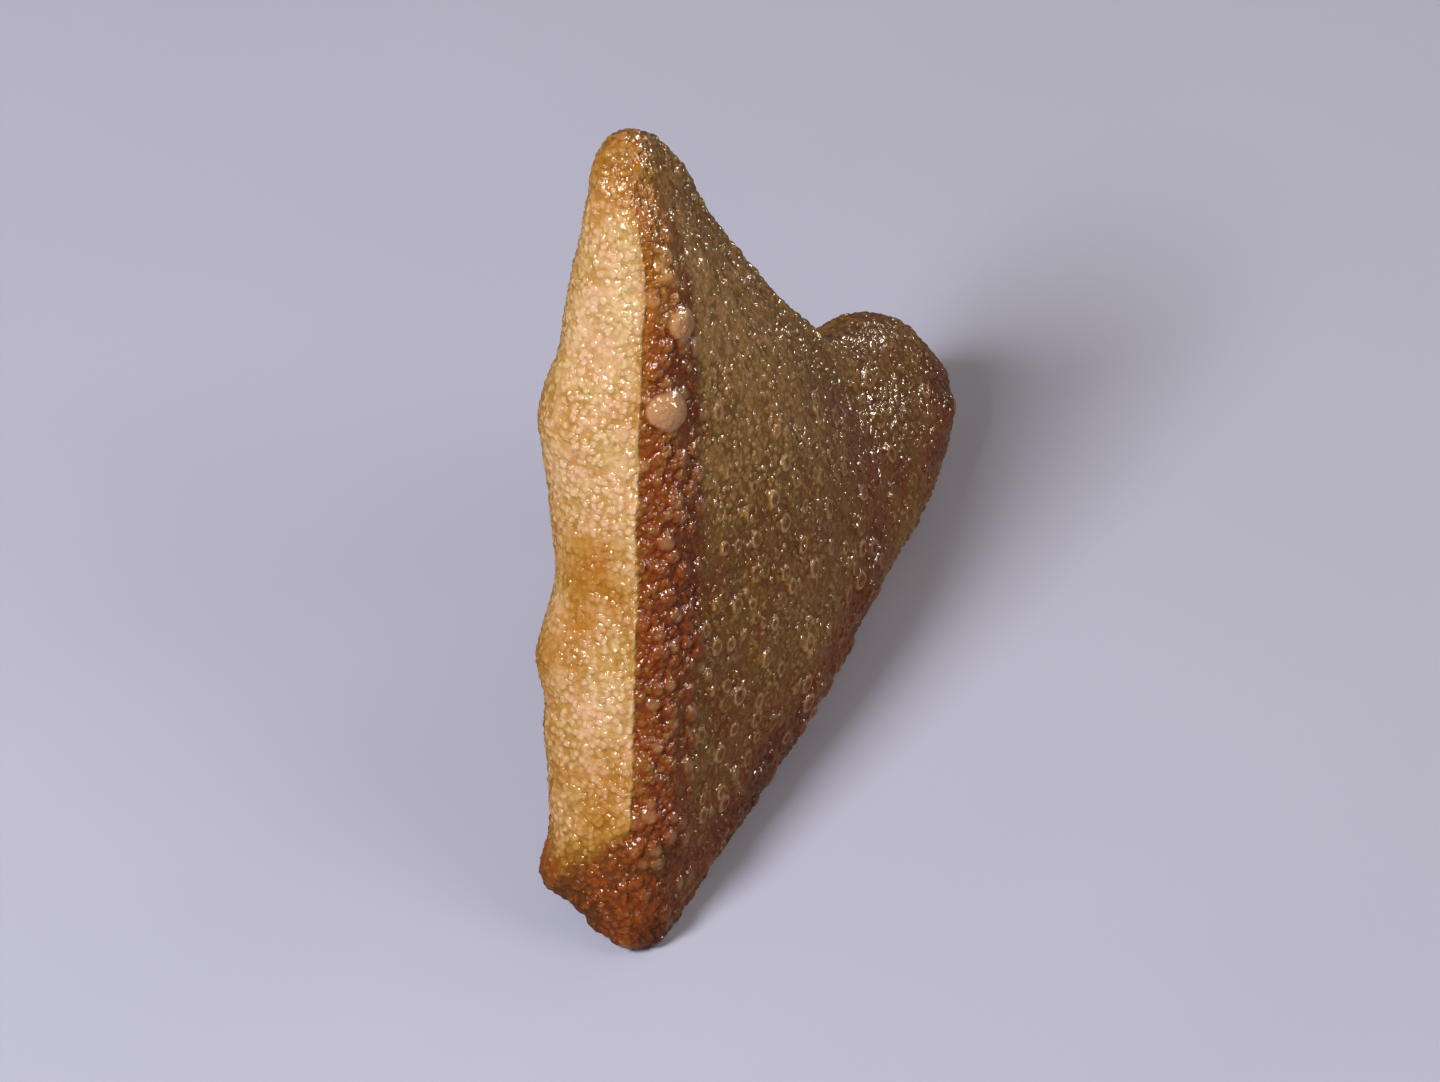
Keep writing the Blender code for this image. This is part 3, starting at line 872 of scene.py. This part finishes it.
@dataclass(frozen=True)
class FriedDough:
    """Wheat dough fried in oil: a thin, crisp crust full of fine bubbles.

    The crust runs from cream over gold to rust brown as it fries, rosy in one place and yellow in the
    next. It is a little translucent, and the film of oil gives every bubble a small glint.
    """

    pale: str = "#E8CDB2"
    golden: str = "#C19858"
    amber_brown: str = "#866321"
    brown: str = "#863E0A"
    scorched: str = "#4C1C06"
    amber: str = "#B47A10"
    # Cream of the blisters' skin and of flour, also used for the painted highlight on ring blisters' rims.
    cream_and_highlight: str = "#D6AC84"
    rosy: str = "#FFF2EA"
    yellow: str = "#F6F4D8"
    rusty: str = "#FFDEB6"
    speck: str = "#6B4C1C"
    foam_mm: float = 0.84
    warp_mm: float = 0.7
    drift: Cloud = Cloud(1.6, 2.0, 0.5, 1.1)
    patches: Cloud = Cloud(6.0, 3.0, 0.5, 2.3)
    hue: Cloud = Cloud(4.5, 2.0, 0.5, 3.7)
    mottle: Cloud = Cloud(1.2, 5.0, 0.75, 4.9)
    specks: Cloud = Cloud(0.6, 2.0, 0.6, 5.3)
    foaming: Cloud = Cloud(2.2, 2.0, 0.5, 7.1)
    ripples: Cloud = Cloud(0.75, 1.0, 0.4, 8.9)
    patch_weight: float = 0.18
    mottle_weight: float = 0.22
    # The foam's darker grooves are partly painted shade, and its paler middles partly a painted highlight.
    groove_brown_and_shade_weight: float = 0.20
    pale_centre_and_highlight_weight: float = 0.17
    # Blisters lighten the browning: pale skin, and on ring blisters' rims a painted highlight.
    blister_pale_and_highlight_weight: float = 0.20

    def material(self) -> bpy.types.Material:
        """Make the material.

        Returns:
            The finish, which reads the crust's attributes and its Object coordinates.
        """
        finish = bpy.data.materials.new("fried_wheat_dough")
        finish.use_nodes = True
        tree = finish.node_tree
        tree.nodes.clear()
        place = add_node(tree, "ShaderNodeTexCoord").outputs["Object"]
        browning_and_painted_light, amber, rust, blister, taut = (
            add_node(tree, "ShaderNodeAttribute", {"attribute_name": name}).outputs["Fac"]
            for name in ("browning_and_painted_light", "amber", "rust", "blister", "taut"))
        fields = {}
        for name in ("drift", "patches", "hue", "mottle", "specks", "foaming", "ripples"):
            cloud = getattr(self, name)
            fields[name] = add_node(tree, "ShaderNodeTexNoise", {"noise_dimensions": "4D"}, {
                "Vector": place, "W": cloud.slice, "Scale": cells_of(cloud.size_mm), "Detail": cloud.detail,
                "Roughness": cloud.roughness})

        # The foam of fine bubbles in the skin: each cell is one bubble. Its middle is paler, partly its thin skin
        # and partly a painted highlight, and the groove around it darker, partly browning and partly painted shade.
        # Its cells are drifted so that they don't sit in rows.
        pushed = add_node(tree, "ShaderNodeVectorMath", {"operation": "MULTIPLY_ADD"}, {
            0: fields["drift"].outputs["Color"], 1: (self.warp_mm * MM,) * 3, 2: place}).outputs[0]
        foam = add_node(tree, "ShaderNodeTexVoronoi", {"feature": "F1"}, {
            "Vector": pushed, "Scale": cells_of(self.foam_mm), "Randomness": 1.0}).outputs["Distance"]
        centre = add_node(tree, "ShaderNodeMapRange", {"interpolation_type": "SMOOTHSTEP"}, {
            "Value": foam, "From Min": 0.08, "From Max": 0.34, "To Min": 1.0, "To Max": 0.0}).outputs[0]
        groove_brown_and_shade = add_node(tree, "ShaderNodeMapRange", {"interpolation_type": "SMOOTHSTEP"}, {
            "Value": foam, "From Min": 0.34, "From Max": 0.74}).outputs[0]
        foamy = add_node(tree, "ShaderNodeMapRange", {"interpolation_type": "SMOOTHSTEP"}, {
            "Value": fields["foaming"].outputs["Fac"], "From Min": 0.3, "From Max": 0.62, "To Min": 0.35,
            "To Max": 1.0}).outputs[0]
        groove_brown_and_shade = add_node(tree, "ShaderNodeMath", {"operation": "MULTIPLY"}, {0: groove_brown_and_shade, 1: foamy}).outputs[0]
        centre = add_node(tree, "ShaderNodeMath", {"operation": "MULTIPLY"}, {0: centre, 1: foamy}).outputs[0]

        # How far the dough has fried here, painted shade and light included: what the piece says, broken up by
        # clouds and by the foam, whose grooves add painted shade and whose middles a painted highlight.
        level_out = (self.patch_weight + self.mottle_weight) / 2.0
        toast_and_painted_light = add_node(tree, "ShaderNodeMath", {"operation": "SUBTRACT"}, {0: browning_and_painted_light, 1: level_out}).outputs[0]
        for field_value, weight in ((fields["patches"].outputs["Fac"], self.patch_weight),
                                    (fields["mottle"].outputs["Fac"], self.mottle_weight),
                                    (groove_brown_and_shade, self.groove_brown_and_shade_weight), (centre, -self.pale_centre_and_highlight_weight),
                                    (blister, -self.blister_pale_and_highlight_weight)):
            toast_and_painted_light = add_node(tree, "ShaderNodeMath", {"operation": "MULTIPLY_ADD"},
                               {0: field_value, 1: weight, 2: toast_and_painted_light}).outputs[0]
        ramp = add_node(tree, "ShaderNodeValToRGB", {}, {"Fac": toast_and_painted_light})
        stops = ((0.0, self.pale), (0.3, self.golden), (0.5, self.amber_brown), (0.7, self.brown),
                 (0.95, self.scorched))
        while len(ramp.color_ramp.elements) < len(stops):
            ramp.color_ramp.elements.new(0.5)
        for element, (position, colour) in zip(ramp.color_ramp.elements, stops):
            element.position = position
            element.color = linear_colour(colour)

        # Thin, oily places turn amber, and the whole crust drifts between rosy and yellow.
        colour = add_node(tree, "ShaderNodeMix", {"data_type": "RGBA"}, {
            0: amber, 6: ramp.outputs["Color"], 7: linear_colour(self.amber)}).outputs[2]
        turning = add_node(tree, "ShaderNodeMapRange", {"interpolation_type": "SMOOTHSTEP"}, {
            "Value": fields["hue"].outputs["Fac"], "From Min": 0.35, "From Max": 0.65}).outputs[0]
        cast = add_node(tree, "ShaderNodeMix", {"data_type": "RGBA"}, {
            0: turning, 6: linear_colour(self.rosy), 7: linear_colour(self.yellow)}).outputs[2]
        colour = add_node(tree, "ShaderNodeMix", {"data_type": "RGBA", "blend_type": "MULTIPLY"}, {
            0: 1.0, 6: colour, 7: cast}).outputs[2]
        colour = add_node(tree, "ShaderNodeMix", {"data_type": "RGBA", "blend_type": "MULTIPLY"}, {
            0: rust, 6: colour, 7: linear_colour(self.rusty)}).outputs[2]

        # Specks of darker spice and flour, and the pale skin of the blisters, whose rims on the ring blisters are a
        # painted highlight.
        specked = add_node(tree, "ShaderNodeMapRange", {"interpolation_type": "SMOOTHSTEP"}, {
            "Value": fields["specks"].outputs["Fac"], "From Min": 0.54, "From Max": 0.72,
            "To Max": 0.35}).outputs[0]
        colour = add_node(tree, "ShaderNodeMix", {"data_type": "RGBA"}, {
            0: specked, 6: colour, 7: linear_colour(self.speck)}).outputs[2]
        floury = add_node(tree, "ShaderNodeMapRange", {"interpolation_type": "SMOOTHSTEP"}, {
            "Value": fields["specks"].outputs["Fac"], "From Min": 0.28, "From Max": 0.44, "To Min": 0.25,
            "To Max": 0.0}).outputs[0]
        cream_skin_and_highlight = add_node(tree, "ShaderNodeMapRange", {"interpolation_type": "SMOOTHSTEP"}, {
            "Value": blister, "From Min": 0.3, "From Max": 1.0, "To Max": 0.55}).outputs[0]
        cream = add_node(tree, "ShaderNodeMath", {"operation": "MAXIMUM"}, {0: cream_skin_and_highlight, 1: floury}).outputs[0]
        colour = add_node(tree, "ShaderNodeMix", {"data_type": "RGBA"}, {
            0: cream, 6: colour, 7: linear_colour(self.cream_and_highlight)}).outputs[2]

        # The bump is shallow and smooth, as oil fills the finest pores, and fades where skin is taut.
        height = add_node(tree, "ShaderNodeMath", {"operation": "MULTIPLY"}, {0: groove_brown_and_shade, 1: -0.14}).outputs[0]
        height = add_node(tree, "ShaderNodeMath", {"operation": "MULTIPLY_ADD"}, {
            0: fields["ripples"].outputs["Fac"], 1: 0.16, 2: height}).outputs[0]
        slack = add_node(tree, "ShaderNodeMath", {"operation": "MULTIPLY_ADD"}, {
            0: taut, 1: -0.4, 2: 1.0}).outputs[0]
        height = add_node(tree, "ShaderNodeMath", {"operation": "MULTIPLY"}, {0: height, 1: slack}).outputs[0]
        bump = add_node(tree, "ShaderNodeBump", {}, {
            "Strength": 1.0, "Distance": MM, "Height": height}).outputs["Normal"]
        rough = add_node(tree, "ShaderNodeMapRange", {}, {
            "Value": fields["mottle"].outputs["Fac"], "From Min": 0.3, "From Max": 0.7, "To Min": 0.28,
            "To Max": 0.48}).outputs[0]
        shader = add_node(tree, "ShaderNodeBsdfPrincipled", {}, {
            "Base Color": colour, "Roughness": rough, "IOR": 1.47, "Specular IOR Level": 0.25,
            "Normal": bump, "Subsurface Weight": 0.1, "Subsurface Radius": (1.0, 0.45, 0.18),
            "Subsurface Scale": 1.0 * MM, "Coat Weight": 0.8, "Coat Roughness": 0.10, "Coat Normal": bump})
        add_node(tree, "ShaderNodeOutputMaterial", {}, {"Surface": shader.outputs["BSDF"]})
        return finish


@dataclass(frozen=True)
class PaintedBoard:
    """A board painted matt white with a cool cast: even, with a faint mottle from the roller."""

    colour: str = "#BFC8EC"
    worn: str = "#B8C1E5"
    mottle_mm: float = 60.0

    def material(self) -> bpy.types.Material:
        """Make the material."""
        finish = bpy.data.materials.new("matt_painted_board")
        finish.use_nodes = True
        tree = finish.node_tree
        tree.nodes.clear()
        place = add_node(tree, "ShaderNodeTexCoord").outputs["Object"]
        mottle = add_node(tree, "ShaderNodeTexNoise", {},
                          {"Vector": place, "Scale": cells_of(self.mottle_mm), "Detail": 2.0}).outputs["Fac"]
        colour = add_node(tree, "ShaderNodeMix", {"data_type": "RGBA"},
                          {0: mottle, 6: linear_colour(self.colour), 7: linear_colour(self.worn)}).outputs[2]
        shader = add_node(tree, "ShaderNodeBsdfPrincipled", {}, {"Base Color": colour, "Roughness": 0.85})
        add_node(tree, "ShaderNodeOutputMaterial", {}, {"Surface": shader.outputs["BSDF"]})
        return finish


@dataclass(frozen=True)
class Softbox:
    """One soft lamp, by where it hangs from the samosa; angles are in degrees and lengths in metres.

    A lamp only for glints shows in the oil's highlights and lights nothing else.
    """

    name: str
    azimuth: float
    elevation: float
    distance: float
    side: float
    watts: float
    colour: str
    only_glints: bool = False


@dataclass
class Studio:
    """The floor, the soft lamps, the pale room and the camera."""

    floor_side: float = 6.0
    camera_azimuth: float = 21.2
    camera_elevation: float = 47.0
    lens: float = 500.0
    picture_height: float = 0.128
    target_height: float = 0.25
    picture_shape: float = 1440.0 / 1082.0
    room_colour: str = "#E6D2BA"
    room_strength: float = 0.22
    lamps: tuple[Softbox, ...] = (
        Softbox("key", -24.0, 48.0, 0.9, 0.26, 7.2, "#FFF4E8"),
        Softbox("fill", 95.0, 45.0, 0.9, 0.5, 1.5, "#FFEBD6"),
        Softbox("back_glints", 140.0, 42.0, 0.9, 0.18, 5.5, "#FFF4E4", True),
        Softbox("ridge_glints", 152.0, 28.0, 0.9, 0.14, 4.5, "#FFF4E4", True),
        Softbox("side_glints", 95.0, 30.0, 0.9, 0.16, 2.6, "#FFF4E4", True),
        Softbox("front_glints", -35.0, 62.0, 0.9, 0.12, 2.6, "#FFF8F0", True),
    )

    def direction(self, azimuth: float, elevation: float) -> Vector:
        """Return the unit vector from the samosa out to a place; azimuth 0 is in front, 90 at the right."""
        turn, lift = math.radians(azimuth), math.radians(elevation)
        return Vector((math.sin(turn) * math.cos(lift), -math.cos(turn) * math.cos(lift), math.sin(lift)))

    def build_floor(self) -> bpy.types.Object:
        """Lay the floor."""
        sheet = bmesh.new()
        bmesh.ops.create_grid(sheet, x_segments=4, y_segments=4, size=self.floor_side / 2.0)
        mesh = bpy.data.meshes.new("floor")
        sheet.to_mesh(mesh)
        sheet.free()
        mesh.materials.append(PaintedBoard().material())
        floor = bpy.data.objects.new("floor", mesh)
        bpy.context.scene.collection.objects.link(floor)
        floor.visible_glossy = False
        return floor

    def hang(self, lamp: Softbox, target: Vector) -> bpy.types.Object:
        """Hang one lamp, turned to the target."""
        light = bpy.data.lights.new(lamp.name, "AREA")
        light.shape = "DISK"
        light.size = lamp.side
        light.energy = lamp.watts
        light.color = linear_colour(lamp.colour)[:3]
        holder = bpy.data.objects.new(lamp.name, light)
        outward = self.direction(lamp.azimuth, lamp.elevation)
        holder.location = target + outward * lamp.distance
        holder.rotation_euler = outward.to_track_quat("Z", "Y").to_euler()
        holder.visible_diffuse = not lamp.only_glints
        bpy.context.scene.collection.objects.link(holder)
        return holder

    def build_room(self) -> None:
        """Give the room its pale, even light."""
        world = bpy.data.worlds.new("room")
        world.use_nodes = True
        tree = world.node_tree
        tree.nodes.clear()
        glow = add_node(tree, "ShaderNodeBackground", {},
                        {"Color": linear_colour(self.room_colour), "Strength": self.room_strength})
        add_node(tree, "ShaderNodeOutputWorld", {}, {"Surface": glow.outputs["Background"]})
        bpy.context.scene.world = world

    def build_camera(self, target: Vector) -> bpy.types.Object:
        """Set up the camera, looking down at the target through a long lens."""
        camera = bpy.data.cameras.new("camera")
        camera.lens = self.lens
        camera.clip_end = 20.0
        holder = bpy.data.objects.new("camera", camera)
        outward = self.direction(self.camera_azimuth, self.camera_elevation)
        width = self.picture_height * self.picture_shape
        holder.location = target + outward * (width * self.lens / camera.sensor_width)
        holder.rotation_euler = outward.to_track_quat("Z", "Y").to_euler()
        bpy.context.scene.collection.objects.link(holder)
        bpy.context.scene.camera = holder
        return holder

    def build(self) -> None:
        """Build the whole studio round the samosa."""
        low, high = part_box(NODE)
        target = (Vector(low) + Vector(high)) / 2.0
        target.z = high[2] * self.target_height
        self.build_floor()
        self.build_room()
        for lamp in self.lamps:
            self.hang(lamp, target)
        self.build_camera(target)
        bpy.context.scene.view_settings.view_transform = "Standard"
        LOG.info("studio: floor, %d lamps, camera", len(self.lamps))


def main() -> None:
    """Build the samosa, then the studio around it."""
    logging.basicConfig(level=logging.INFO, format="%(name)s: %(message)s")
    Samosa().build()
    Studio().build()


if __name__ == "__main__":
    main()
